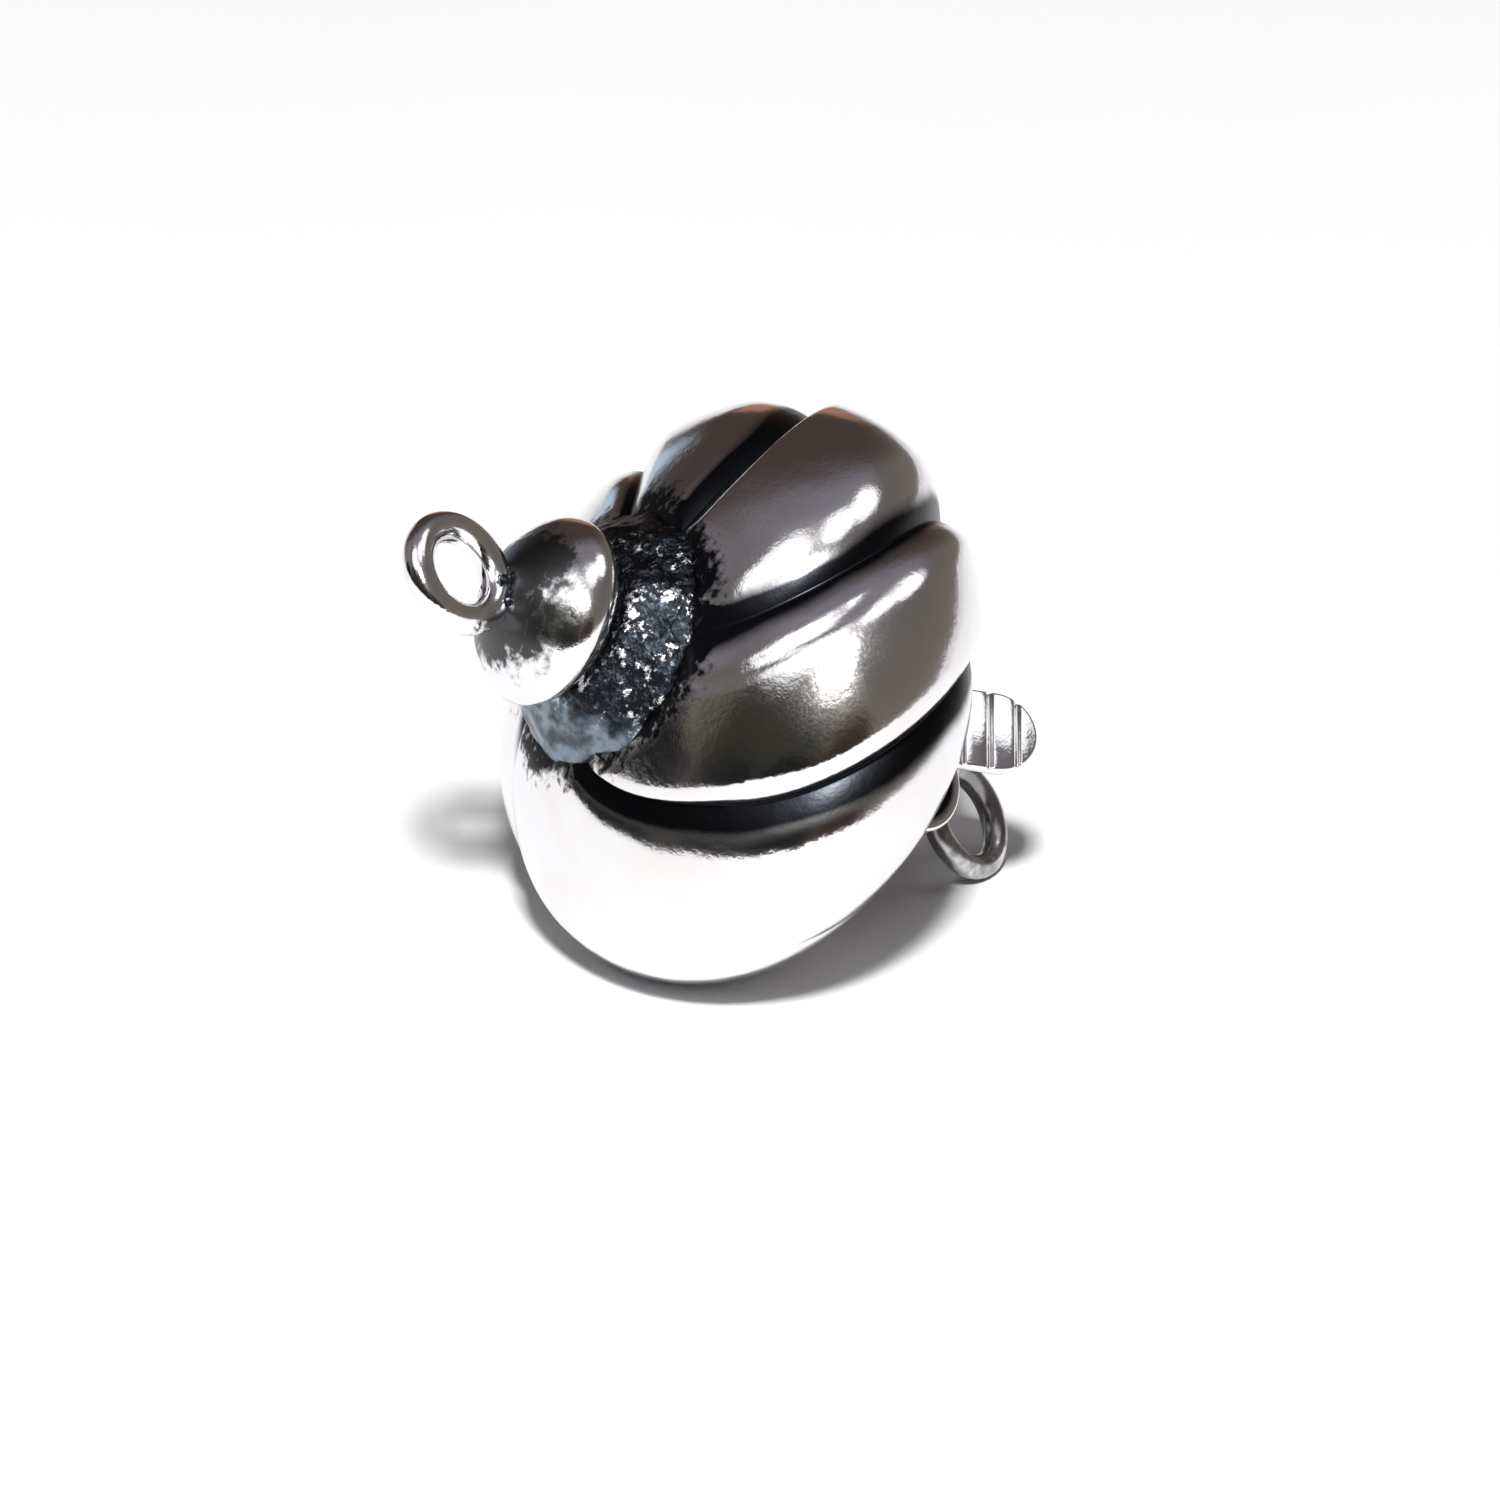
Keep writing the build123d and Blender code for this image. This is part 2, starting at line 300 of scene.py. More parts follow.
class ClaspFittingSizes(bpy.types.PropertyGroup):
    """Sizes of the rings, the tongue and the spring leaf."""

    ring_diameter: metres("Ring diameter", "Outside of each closed ring", 3 * MM)
    cap_wire: metres("Cap wire", "Diameter of the wire of the cap's ring", 0.74 * MM)
    tongue_wire: metres("Tongue wire", "Diameter of the wire of the tongue's ring", 0.6 * MM)
    tongue_width: metres("Tongue width", "Width of the lower leaf", 3.2 * MM)
    tongue_thickness: metres("Tongue thickness", "Thickness of the lower leaf", 0.4 * MM)
    tongue_overhang: metres(
        "Tongue overhang", "From the slot to the middle of the tongue's round end", 1.48 * MM,
    )
    leaf_width: metres("Leaf width", "Width of the spring leaf inside the ball", 2.9 * MM)
    leaf_thickness: metres("Leaf thickness", "Thickness of the spring leaf", 0.3 * MM)
    leaf_lift: metres("Leaf lift", "Height of the leaf above the axis in the slot", 1.46 * MM)
    tab_width: metres("Tab width", "Width of the thumb tab", 2.05 * MM)
    tab_length: metres("Tab length", "From the slot to the tab's tip", 2.85 * MM)
    tab_slope: FloatProperty(
        name="Tab slope", description="Slope of the thumb tab against the axis",
        default=radians(23.6), subtype="ANGLE",
    )
    fold_roll: metres("Fold roll", "Diameter of the tongue's rolled inner end", 0.5 * MM)
    fold_gap: metres("Fold gap", "Between the rolled end and the leaf's hook", 0.05 * MM)
    hook_end: FloatProperty(
        name="Hook end", description="Where the leaf's hook ends, from the tongue's way",
        default=radians(280.0), subtype="ANGLE",
    )
    bend_radius: metres("Bend radius", "Radius of the bend between the leaf and its tab", 1.2 * MM)
    slot_gap: metres("Slot gap", "Between the leaves and the slot's edge", 0.15 * MM)
    shoulder_gap: metres("Shoulder gap", "Between the leaf's shoulders and the ball's wall", 0.35 * MM)
    grip_margin: metres("Grip margin", "From the tab's tip to the first grip line, along the axis", 0.45 * MM)
    grip_spacing: metres("Grip spacing", "Between the grip lines, along the axis", 0.62 * MM)
    grip_lines: IntProperty(
        name="Grip lines", description="Number of lines across the tab", default=3, min=0, max=6,
    )
    edge: metres("Edge", "Radius of the worn edges of the strips", 0.07 * MM)


class ClaspFinish(bpy.types.PropertyGroup):
    """Colours and polish of the silver."""

    silver: FloatVectorProperty(
        name="Silver", description="Colour of clean polished silver", default=(0.87, 0.87, 0.89),
        subtype="COLOR", min=0.0, max=1.0,
    )
    # Patina in the grooves, on the collar and round the cap's solder, and also the colour of painted shade and
    # painted reflection on the lobe flanks, the tongue's upper face and its ring.
    oxide: FloatVectorProperty(
        name="Oxide", description="Colour of the blackened silver in the grooves",
        default=(0.013, 0.014, 0.017), subtype="COLOR", min=0.0, max=1.0,
    )
    # Also the colour of the painted reflection of the table on the collar's side that faces it; scaled down, it
    # tints the speckle in the collar's black.
    worn_oxide: FloatVectorProperty(
        name="Worn oxide", description="Colour of the collar's side where its black is rubbed thin",
        default=(0.20, 0.25, 0.30), subtype="COLOR", min=0.0, max=1.0,
    )
    polish: FloatProperty(
        name="Polish", description="Roughness of the polished silver", default=0.10,
        min=0.0, max=1.0, subtype="FACTOR",
    )


class ClaspStage(bpy.types.PropertyGroup):
    """The camera, the table and the light."""

    azimuth: FloatProperty(
        name="Azimuth", description="The camera's way round the clasp", default=radians(-27.0),
        subtype="ANGLE",
    )
    elevation: FloatProperty(
        name="Elevation", description="The camera's height above the table, as an angle",
        default=radians(24.0), subtype="ANGLE",
    )
    distance: FloatProperty(
        name="Distance", description="From the camera to the clasp", default=0.24, unit="LENGTH",
    )
    frame_width: metres("Frame width", "Width of the picture at the clasp", 34.64 * MM)
    aim_right: metres("Aim right", "How far right of the ball's middle the camera aims", 0.277 * MM)
    aim_down: metres("Aim down", "How far below the ball's middle the camera aims", 1.386 * MM)


def new_tree(name, sizes):
    """A Geometry Nodes tree with an input for each named size. Gives the tree and its inputs."""
    tree = bpy.data.node_groups.new(name, "GeometryNodeTree")
    tree.interface.new_socket("Geometry", in_out="OUTPUT", socket_type="NodeSocketGeometry")
    for label, value in sizes.items():
        kind = "NodeSocketInt" if isinstance(value, int) else "NodeSocketFloat"
        tree.interface.new_socket(label, in_out="INPUT", socket_type=kind).default_value = value
    group = tree.nodes.new("NodeGroupInput")
    return tree, {label: Term(tree, group.outputs[label]) for label in sizes}


def finish_tree(tree, geometry, material):
    """Ends a tree in realized, smooth geometry with a material."""
    geometry = Term.node(tree, "GeometryNodeRealizeInstances", None, {"Geometry": geometry})
    geometry = Term.node(tree, "GeometryNodeSetShadeSmooth", None, {"Geometry": geometry})
    geometry = Term.node(tree, "GeometryNodeSetMaterial", None, {"Geometry": geometry, "Material": material})
    output = tree.nodes.new("NodeGroupOutput")
    tree.links.new(geometry.socket, output.inputs[0])


def grown(tree, sizes, name):
    """The plain mesh that a tree makes with the given sizes, as a new object in the clasp's own axes."""
    holder = bpy.data.objects.new(name + "_tree", bpy.data.meshes.new(name + "_empty"))
    bpy.context.scene.collection.objects.link(holder)
    modifier = holder.modifiers.new("tree", "NODES")
    modifier.node_group = tree
    for item in tree.interface.items_tree:
        if item.in_out == "INPUT" and item.name in sizes:
            modifier[item.identifier] = sizes[item.name]
    evaluated = holder.evaluated_get(bpy.context.evaluated_depsgraph_get())
    mesh = bpy.data.meshes.new_from_object(evaluated)
    mesh.name = name
    bpy.data.objects.remove(holder)
    return linked(name, mesh)


def linked(name, mesh):
    """A new object for a mesh, in the scene."""
    piece = bpy.data.objects.new(name, mesh)
    bpy.context.scene.collection.objects.link(piece)
    return piece


def from_bmesh(name, shape, material):
    """A smooth-shaded object from a bmesh, which is freed."""
    bmesh.ops.recalc_face_normals(shape, faces=shape.faces)
    mesh = bpy.data.meshes.new(name)
    shape.to_mesh(mesh)
    shape.free()
    mesh.materials.append(material)
    mesh.shade_smooth()
    return linked(name, mesh)


def applied(piece):
    """Makes a piece's modifiers part of its mesh."""
    evaluated = piece.evaluated_get(bpy.context.evaluated_depsgraph_get())
    mesh = bpy.data.meshes.new_from_object(evaluated)
    piece.modifiers.clear()
    old = piece.data
    piece.data = mesh
    bpy.data.meshes.remove(old)
    mesh.name = piece.name


def laid_down(piece, body, slot):
    """Turns a finished piece to the way the clasp lies, and lets it ride on its body."""
    piece.data.transform(TO_ROW)
    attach(piece, body)


def table_lookup(tree, index, column, offset=0):
    """The value in a column of the groove table for a lobe's index, or for the groove after it."""
    rows = [GROOVES[(i + offset) % len(GROOVES)][column] for i in range(len(GROOVES))]
    if column == "angle":
        rows = [radians(angle + 360 * ((i + offset) // len(GROOVES))) for i, angle in enumerate(rows)]
    inputs = {"Index": index}
    inputs.update({str(i): value for i, value in enumerate(rows)})
    return Term.node(tree, "GeometryNodeIndexSwitch", {"data_type": "FLOAT", "items": len(rows)}, inputs)


def ball_sizes(sizes, fittings):
    """The named inputs of the ball's tree."""
    hook_reach = fittings.fold_roll / 2 + fittings.fold_gap + fittings.leaf_thickness
    return {
        "Radius": sizes.diameter / 2,
        "Half Length": sizes.length / 2,
        "Groove Depth": sizes.groove_depth,
        "Twist": sizes.twist,
        "Ring End": sizes.ring_end,
        "Tongue End": sizes.tongue_end,
        "Fade From": sizes.fade_from,
        "Faded Share": sizes.faded_share,
        "Slot Half Width": fittings.tongue_width / 2 + fittings.slot_gap,
        "Slot Top": fittings.leaf_lift + fittings.leaf_thickness / 2 + fittings.slot_gap,
        "Slot Bottom": -FOLD.z + hook_reach + fittings.slot_gap,
        "Columns": sizes.lobe_columns * len(GROOVES) + 1,
        "Rows": sizes.rows,
    }


def ball_tree(sizes, material):
    """The ball's outer skin: a grid bent round the axis, with a groove between each two lobes."""
    tree, size = new_tree("Lobed ball", sizes)
    grid = Term.node(
        tree, "GeometryNodeMeshGrid", None,
        {"Size X": 1.0, "Size Y": 1.0, "Vertices X": size["Columns"], "Vertices Y": size["Rows"]},
    )
    place = Term.node(tree, "GeometryNodeInputPosition")
    parts = Term.node(tree, "ShaderNodeSeparateXYZ", None, {0: place})
    column = (parts + 0.5) * len(GROOVES)
    row = Term(tree, parts.socket.node.outputs[1]) + 0.5

    lobe = column.maths("FLOOR").maths("MINIMUM", len(GROOVES) - 1.0)
    even = column - lobe
    bunch = 0.6
    across = even - (even * 2 * pi).maths("SINE") * bunch / (2 * pi)

    edge_rows, round_rows, flat_rows = 0.09, 0.90, 0.95
    ring_edge, tongue_edge = radians(2.6), radians(2.0)
    at_ring = (1 - (row / edge_rows).clamped()) * (pi / 2)
    body = ((row - edge_rows) / (round_rows - edge_rows)).clamped()
    at_tongue = ((row - round_rows) / (flat_rows - round_rows)).clamped() * (pi / 2)
    inward = ((row - flat_rows) / (1 - flat_rows)).clamped()
    span = size["Tongue End"] - size["Ring End"] - ring_edge - tongue_edge
    polar = size["Ring End"] + ring_edge * (1 - at_ring.maths("SINE")) + body * span
    polar = polar + tongue_edge * at_tongue.maths("SINE")

    turn = size["Twist"] * (polar - pi / 2) / pi
    hook_from, hook_span = radians(58.0), radians(30.0)
    hook = ((hook_from - polar) / hook_span).maths("MAXIMUM", 0.0) ** 2.0 * radians(1.0)
    start = table_lookup(tree, lobe, "angle") + turn * table_lookup(tree, lobe, "twist")
    start = start + hook * table_lookup(tree, lobe, "hook")
    end = table_lookup(tree, lobe, "angle", 1) + turn * table_lookup(tree, lobe, "twist", 1)
    end = end + hook * table_lookup(tree, lobe, "hook", 1)
    angle = across.blended(start, end)

    fade_power = 1.5
    late = ((polar - size["Fade From"]) / (size["Tongue End"] - size["Fade From"])).maths("MAXIMUM", 0.0)
    kept = 1 - (1 - size["Faded Share"]) * late**fade_power
    rise = (1 - across / table_lookup(tree, lobe, "rise")).maths("MAXIMUM", 0.0)
    fall = (1 - (1 - across) / table_lookup(tree, lobe, "fall")).maths("MAXIMUM", 0.0)
    before = rise ** table_lookup(tree, lobe, "rise_bend") * table_lookup(tree, lobe, "depth")
    after = fall ** table_lookup(tree, lobe, "fall_bend") * table_lookup(tree, lobe, "depth", 1)
    groove = (before + after) * kept
    crease_from, crease_to, crease_fade = radians(40.0), radians(74.0), radians(10.0)
    share_from, share_to, crease_width = 0.24, 0.16, 0.04
    crease_place = ((polar - crease_from) / (crease_to - crease_from)).clamped().blended(share_from, share_to)
    crease = (1 - ((1 - across - crease_place) / crease_width).maths("ABSOLUTE")).maths("MAXIMUM", 0.0)
    crease = crease * polar.between(crease_to, crease_to - crease_fade) * table_lookup(tree, lobe, "crease")

    # Painted shade: the fine crease line is darkened as if shade lay in it.
    crease_painted_shade = 2.0
    # The grooves' black is patina at their bottoms and a painted dark reflection further up the flanks.
    black = before * table_lookup(tree, lobe, "rise_black") + after * table_lookup(tree, lobe, "fall_black")
    black = black * kept * (1 + hook / radians(1.0)) + crease * crease_painted_shade

    edge_drop = 0.75 * MM
    radius = size["Radius"] * polar.maths("SINE") - size["Groove Depth"] * (groove + crease)
    radius = radius - edge_drop * (1 - at_ring.maths("COSINE"))
    sine, cosine = angle.maths("SINE"), angle.maths("COSINE")
    half_height = (cosine.maths("SIGN") * 0.5 + 0.5).blended(size["Slot Bottom"], size["Slot Top"])
    squareness = 8.0
    slot = (sine / size["Slot Half Width"] * MM).maths("ABSOLUTE") ** squareness
    slot = slot + (cosine / half_height * MM).maths("ABSOLUTE") ** squareness
    slot = MM * slot ** (-1 / squareness)
    lip = 0.3
    closing = (1 - at_tongue.maths("COSINE")) * lip + inward * (1 - lip)
    radius = closing.blended(radius, slot)

    along = -(polar.maths("COSINE") * size["Half Length"])
    point = Term.node(tree, "ShaderNodeCombineXYZ", None, {0: along, 1: radius * sine, 2: radius * cosine})
    skin = grid
    for label, value in (("black", black), ("polar", polar)):
        skin = Term.node(
            tree, "GeometryNodeStoreNamedAttribute", {"data_type": "FLOAT", "domain": "POINT"},
            {"Geometry": skin, "Name": label, "Value": value},
        )
    skin = Term.node(tree, "GeometryNodeSetPosition", None, {"Geometry": skin, "Position": point})
    skin = Term.node(tree, "GeometryNodeMergeByDistance", None, {"Geometry": skin, "Distance": WELD})
    skin = Term.node(tree, "GeometryNodeFlipFaces", None, {"Mesh": skin})
    finish_tree(tree, skin, material)
    return tree


def ring_tree(sizes, material):
    """A closed ring of round wire, facing +Z."""
    tree, size = new_tree("Wire ring", sizes)
    circle, wire = (
        Term.node(
            tree, "GeometryNodeCurvePrimitiveCircle", None,
            {"Resolution": size[count], "Radius": size[radius]},
        )
        for count, radius in (("Steps", "Radius"), ("Sides", "Wire"))
    )
    ring = Term.node(tree, "GeometryNodeCurveToMesh", None, {"Curve": circle, "Profile Curve": wire})
    finish_tree(tree, ring, material)
    return tree


def smooth_line(points, steps):
    """A smooth curve through the points, as a list of points."""
    ends = [2 * Vector(points[0]) - Vector(points[1]), 2 * Vector(points[-1]) - Vector(points[-2])]
    knots = [ends[0], *map(Vector, points), ends[1]]
    line = []
    for i in range(1, len(knots) - 2):
        a, b, c, d = knots[i - 1 : i + 3]
        for k in range(steps):
            t = k / steps
            square = (2 * a - 5 * b + 4 * c - d) * t**2
            cube = (3 * b - a - 3 * c + d) * t**3
            line.append((2 * b + (c - a) * t + square + cube) / 2)
    return [*line, knots[-2]]


def turned(name, outline, material, sides, lump=None):
    """A shape turned about the axis from an outline of distances and radii, with optional lumps."""
    shape = bmesh.new()
    rows, steps = [], 6
    for along, radius in smooth_line(outline, steps):
        row = []
        for k in range(sides):
            angle = 2 * pi * k / sides
            point = Vector((-along, radius * sin(angle), radius * cos(angle)))
            if lump:
                point = lump(point)
            row.append(shape.verts.new(point * MM))
        rows.append(row)
    for low, high in zip(rows, rows[1:]):
        for k in range(sides):
            shape.faces.new((low[k], low[(k + 1) % sides], high[(k + 1) % sides], high[k]))
    for row in (rows[0], rows[-1]):
        if (row[0].co - row[sides // 2].co).length > 5 * WELD:
            shape.faces.new(row)
    bmesh.ops.remove_doubles(shape, verts=shape.verts, dist=WELD)
    return from_bmesh(name, shape, material)


def blob(name, centre, size, material, roughness, seed):
    """A lump of solder: a ball with uneven sides."""
    shape = bmesh.new()
    bmesh.ops.create_icosphere(shape, subdivisions=5, radius=1.0)
    broad, narrow, narrow_share = 2.2, 6.0, 0.4
    for vert in shape.verts:
        way = vert.co.normalized()
        swell = 1 + roughness * noise.noise(way * broad + Vector((seed, 0, 0)))
        swell += roughness * narrow_share * noise.noise(way * narrow + Vector((0, seed, 0)))
        vert.co = Vector([way[i] * size[i] * swell + centre[i] for i in range(3)]) * MM
    return from_bmesh(name, shape, material)


def strip(outline, thickness, edge, cuts):
    """A flat strip from an outline of (along, across) points, with worn edges, cut across at places."""
    shape = bmesh.new()
    face = shape.faces.new([shape.verts.new((x, y, -thickness / 2)) for x, y in outline])
    made = bmesh.ops.extrude_face_region(shape, geom=[face])
    top = [v for v in made["geom"] if isinstance(v, bmesh.types.BMVert)]
    bmesh.ops.translate(shape, verts=top, vec=(0, 0, thickness))
    bmesh.ops.recalc_face_normals(shape, faces=shape.faces)
    rims = [e for e in shape.edges if abs(e.verts[0].co.z - e.verts[1].co.z) < thickness / 10]
    bmesh.ops.bevel(shape, geom=rims, offset=edge, segments=3, profile=0.5, affect="EDGES")
    for x in cuts:
        everything = [*shape.verts, *shape.edges, *shape.faces]
        bmesh.ops.bisect_plane(shape, geom=everything, dist=1e-8, plane_co=(x, 0, 0), plane_no=(1, 0, 0))
    return shape


def round_end(centre, radius, steps):
    """Points of a half circle about a place along the strip, from one side to the other."""
    angles = [pi / 2 - pi * k / steps for k in range(steps + 1)]
    return [(centre + radius * cos(a), radius * sin(a)) for a in angles]


def attribute(tree, name):
    """A value that a piece's mesh carries."""
    return Term.node(tree, "ShaderNodeAttribute", {"attribute_name": name}, None, 2)


def new_material(name):
    """A material's tree, its Principled shader and its object coordinates."""
    material = bpy.data.materials.new(name)
    material.use_nodes = True
    tree = material.node_tree
    shader = next(n for n in tree.nodes if n.type == "BSDF_PRINCIPLED")
    coordinates = Term.node(tree, "ShaderNodeTexCoord", None, None, "Object")
    return material, tree, shader, coordinates


def spots(tree, coordinates, size, detail=3.0, roughness=0.55):
    """Noise with spots of about a size in metres."""
    inputs = {"Vector": coordinates, "Scale": 1 / size, "Detail": detail, "Roughness": roughness}
    return Term.node(tree, "ShaderNodeTexNoise", None, inputs)


def put(tree, shader, **values):
    """Links or sets the shader's inputs, by names with underscores for spaces."""
    for name, value in values.items():
        socket = shader.inputs[name.replace("_", " ")]
        if isinstance(value, Term):
            tree.links.new(value.socket, socket)
        else:
            socket.default_value = value


def bump(tree, height, distance):
    """The normal of a surface with a height map, whose full height is a distance in metres."""
    strength = 0.9
    inputs = {"Strength": strength, "Distance": distance, "Height": height}
    return Term.node(tree, "ShaderNodeBump", None, inputs)


def reach(tree, coordinates, way):
    """How far a point of the surface lies from the ball's middle in a direction, in metres."""
    inputs = {0: coordinates, 1: way}
    along = Term.node(tree, "ShaderNodeVectorMath", {"operation": "DOT_PRODUCT"}, inputs, "Value")
    return along - way.dot(BALL_CENTRE)


def tinted(colour, red, green, blue):
    """A colour with its channels scaled, as red, green, blue and alpha."""
    return (colour[0] * red, colour[1] * green, colour[2] * blue, 1.0)


def polished_silver(finish, name, wobble, darkened=None):
    """Polished cast silver, with the black that darkened gives for the noises of its tree:
    patina on some pieces, painted shade and painted reflection on others.
    """
    material, tree, shader, coordinates = new_material(name)
    patches = spots(tree, coordinates, 2.4 * MM)
    grain = spots(tree, coordinates, 0.07 * MM, detail=2.0)
    fine = spots(tree, coordinates, 0.22 * MM)
    waves = spots(tree, coordinates, 1.6 * MM, detail=1.0)
    haze_from, haze_full = 0.35, 0.70
    haze = patches.between(haze_from, haze_full)
    colour = haze.colours(tinted(finish.silver, 1, 1, 1), tinted(finish.silver, 0.97, 0.94, 0.90))
    hazy_polish, grain_polish, black_polish = finish.polish * 1.4, 0.08, 0.32
    polish = haze.blended(finish.polish, hazy_polish) + (grain - 0.5) * grain_polish
    if darkened:
        # The black is patina in places and painted shade and painted reflection in others.
        black = darkened(tree, coordinates, patches, fine)
        colour = black.colours(colour, tinted(finish.oxide, 1, 1, 1))
        polish = black.blended(polish, black_polish)
    fine_height, grain_height, full_height = 0.14, 0.05, 0.04 * MM
    normal = bump(tree, waves * wobble + fine * fine_height + grain * grain_height, full_height)
    put(tree, shader, Base_Color=colour, Metallic=1.0, Roughness=polish, Normal=normal)
    return material


def ragged(patches, fine, broad, narrow):
    """An uneven shift of an edge, by broad patches and by fine spots."""
    return (fine - 0.5) * narrow + (patches - 0.5) * broad


def black_in_grooves(tree, coordinates, patches, fine):
    """The ball's black: patina at the bottoms of its grooves and in a ragged border round the collar,
    a painted dark reflection of the room further up the lobes' flanks, and painted shade along the creases.
    """
    patch_depth, thin_depth, full_depth = 0.4, 0.40, 0.80
    depth = attribute(tree, "black") + (patches - 0.5) * patch_depth
    border_end, border_full = radians(33.5), radians(29.5)
    polar = attribute(tree, "polar") + ragged(patches, fine, radians(13.0), radians(12.0))
    return (depth.between(thin_depth, full_depth) + polar.between(border_end, border_full)).clamped()


def black_on_cap(tree, coordinates, patches, fine):
    """The cap's black: a ragged stain round the ring's solder."""
    stain_end, stain_full, strength = 6.2 * MM, 6.6 * MM, 0.92
    out = reach(tree, coordinates, -ALONG) + ragged(patches, fine, 2.2 * MM, 1.2 * MM)
    return out.between(stain_end, stain_full) * strength


def black_on_plate(tree, coordinates, patches, fine):
    """Painted shade on the tongue's upper face beside the ball, inside a clean rim:
    the face is made black for the shade between the ball and the spring leaf.
    """
    return attribute(tree, "black").between(0.1, 0.9)


def black_on_wire(tree, coordinates, patches, fine):
    """Painted shade on the ring at the tongue: a brown-black darkening in noisy patches."""
    worn, shade_full, speckle, strength = 0.30, 0.62, 0.4, 0.68
    return (patches + (fine - 0.5) * speckle).between(worn, shade_full) * strength


def rough_silver(finish):
    """Rough black silver with bright worn points, as solder and casting leave it,
    and a lighter bluish painted reflection of the table on the side that faces it.
    """
    material, tree, shader, coordinates = new_material("rough_blackened_silver")
    coarse = spots(tree, coordinates, 0.60 * MM)
    fine = spots(tree, coordinates, 0.16 * MM, detail=4.0, roughness=0.7)
    worn_from, worn_full = 0.555, 0.63
    worn = (coarse * 0.5 + fine * 0.5).between(worn_from, worn_full)
    # Painted reflection of the table: on the side facing it the black gives way to a lighter bluish colour, and
    # the bumps there are smoothed.
    sheened_from, sheened_full, ragged_by = 1.6 * MM, 2.3 * MM, 1.2 * MM
    under = reach(tree, coordinates, SHEENED_SIDE) + (coarse - 0.5) * ragged_by
    sheened = under.between(sheened_from, sheened_full)
    bluish = tinted(finish.worn_oxide, 0.25, 0.27, 0.29)
    bluish_from, bluish_full = 0.47, 0.68
    black = fine.between(bluish_from, bluish_full).colours(tinted(finish.oxide, 1, 1, 1), bluish)
    black = worn.colours(black, tinted(finish.silver, 1, 1, 1))
    # The colour of that painted reflection, in patches between darker and lighter bluish.
    sheen_patch_from, sheen_patch_full = 0.35, 0.60
    thin = coarse.between(sheen_patch_from, sheen_patch_full).colours(bluish, tinted(finish.worn_oxide, 1, 1, 1))
    fine_height, smoothed, full_height = 0.5, 0.85, 0.12 * MM
    normal = bump(tree, (coarse + fine * fine_height) * (1 - sheened * smoothed), full_height)
    black_polish, worn_polish = 0.30, 0.16
    polish = worn.blended(black_polish, worn_polish)
    put(tree, shader, Base_Color=sheened.colours(black, thin), Metallic=1.0, Roughness=polish, Normal=normal)
    return material


def table_paint():
    """The pale table top, very slightly uneven in tone."""
    material, tree, shader, coordinates = new_material("pale_table")
    tone = spots(tree, coordinates, 50 * MM)
    darker, lighter = (0.58, 0.58, 0.60, 1.0), (0.62, 0.62, 0.63, 1.0)
    colour = tone.colours(darker, lighter)
    put(tree, shader, Base_Color=colour, Roughness=0.7)
    shader.inputs["Specular IOR Level"].default_value = 0.2
    return material


class ClaspOperator:
    """What the clasp's operators share."""

    bl_options = {"REGISTER", "UNDO"}

    @classmethod
    def poll(cls, context):
        return context.scene is not None


class CLASP_OT_ball(ClaspOperator, bpy.types.Operator):
    """Make the hollow ball with its twisted lobes"""

    bl_idname = "clasp.ball"
    bl_label = "Lobed Ball"

    def execute(self, context):
        scene = context.scene
        sizes = ball_sizes(scene.clasp_ball, scene.clasp_fittings)
        silver = polished_silver(
            scene.clasp_finish, "polished_lobe_silver", wobble=1.0, darkened=black_in_grooves,
        )
        ball = grown(ball_tree(sizes, silver), sizes, "lobed_ball")
        wall = ball.modifiers.new("wall", "SOLIDIFY")
        wall.thickness = scene.clasp_ball.wall
        wall.offset = -1.0
        applied(ball)
        laid_down(ball, "ball", "polished_silver")
        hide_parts("ball_shell")
        return {"FINISHED"}


class CLASP_OT_collar_and_cap(ClaspOperator, bpy.types.Operator):
    """Make the rough collar, the waist and the bell cap"""

    bl_idname = "clasp.collar_and_cap"
    bl_label = "Collar and Bell Cap"

    def execute(self, context):
        finish = context.scene.clasp_finish

        def lumps(point):
            """Moves a point of the collar out or in, by broad lumps and by small ones."""
            broad, broad_height, small, small_height = 1.1, 0.16, 3.1, 0.07
            height = broad_height * noise.noise(point * broad) + small_height * noise.noise(point * small)
            return point + Vector((0, point.y, point.z)).normalized() * height

        collar = turned("rough_collar", COLLAR_OUTLINE, rough_silver(finish), sides=220, lump=lumps)
        laid_down(collar, "ball", "polished_silver")
        silver = polished_silver(finish, "bell_cap_silver", wobble=1.9, darkened=black_on_cap)
        cap = turned("bell_cap", CAP_OUTLINE, silver, sides=160)
        laid_down(cap, "ball", "polished_silver")
        return {"FINISHED"}


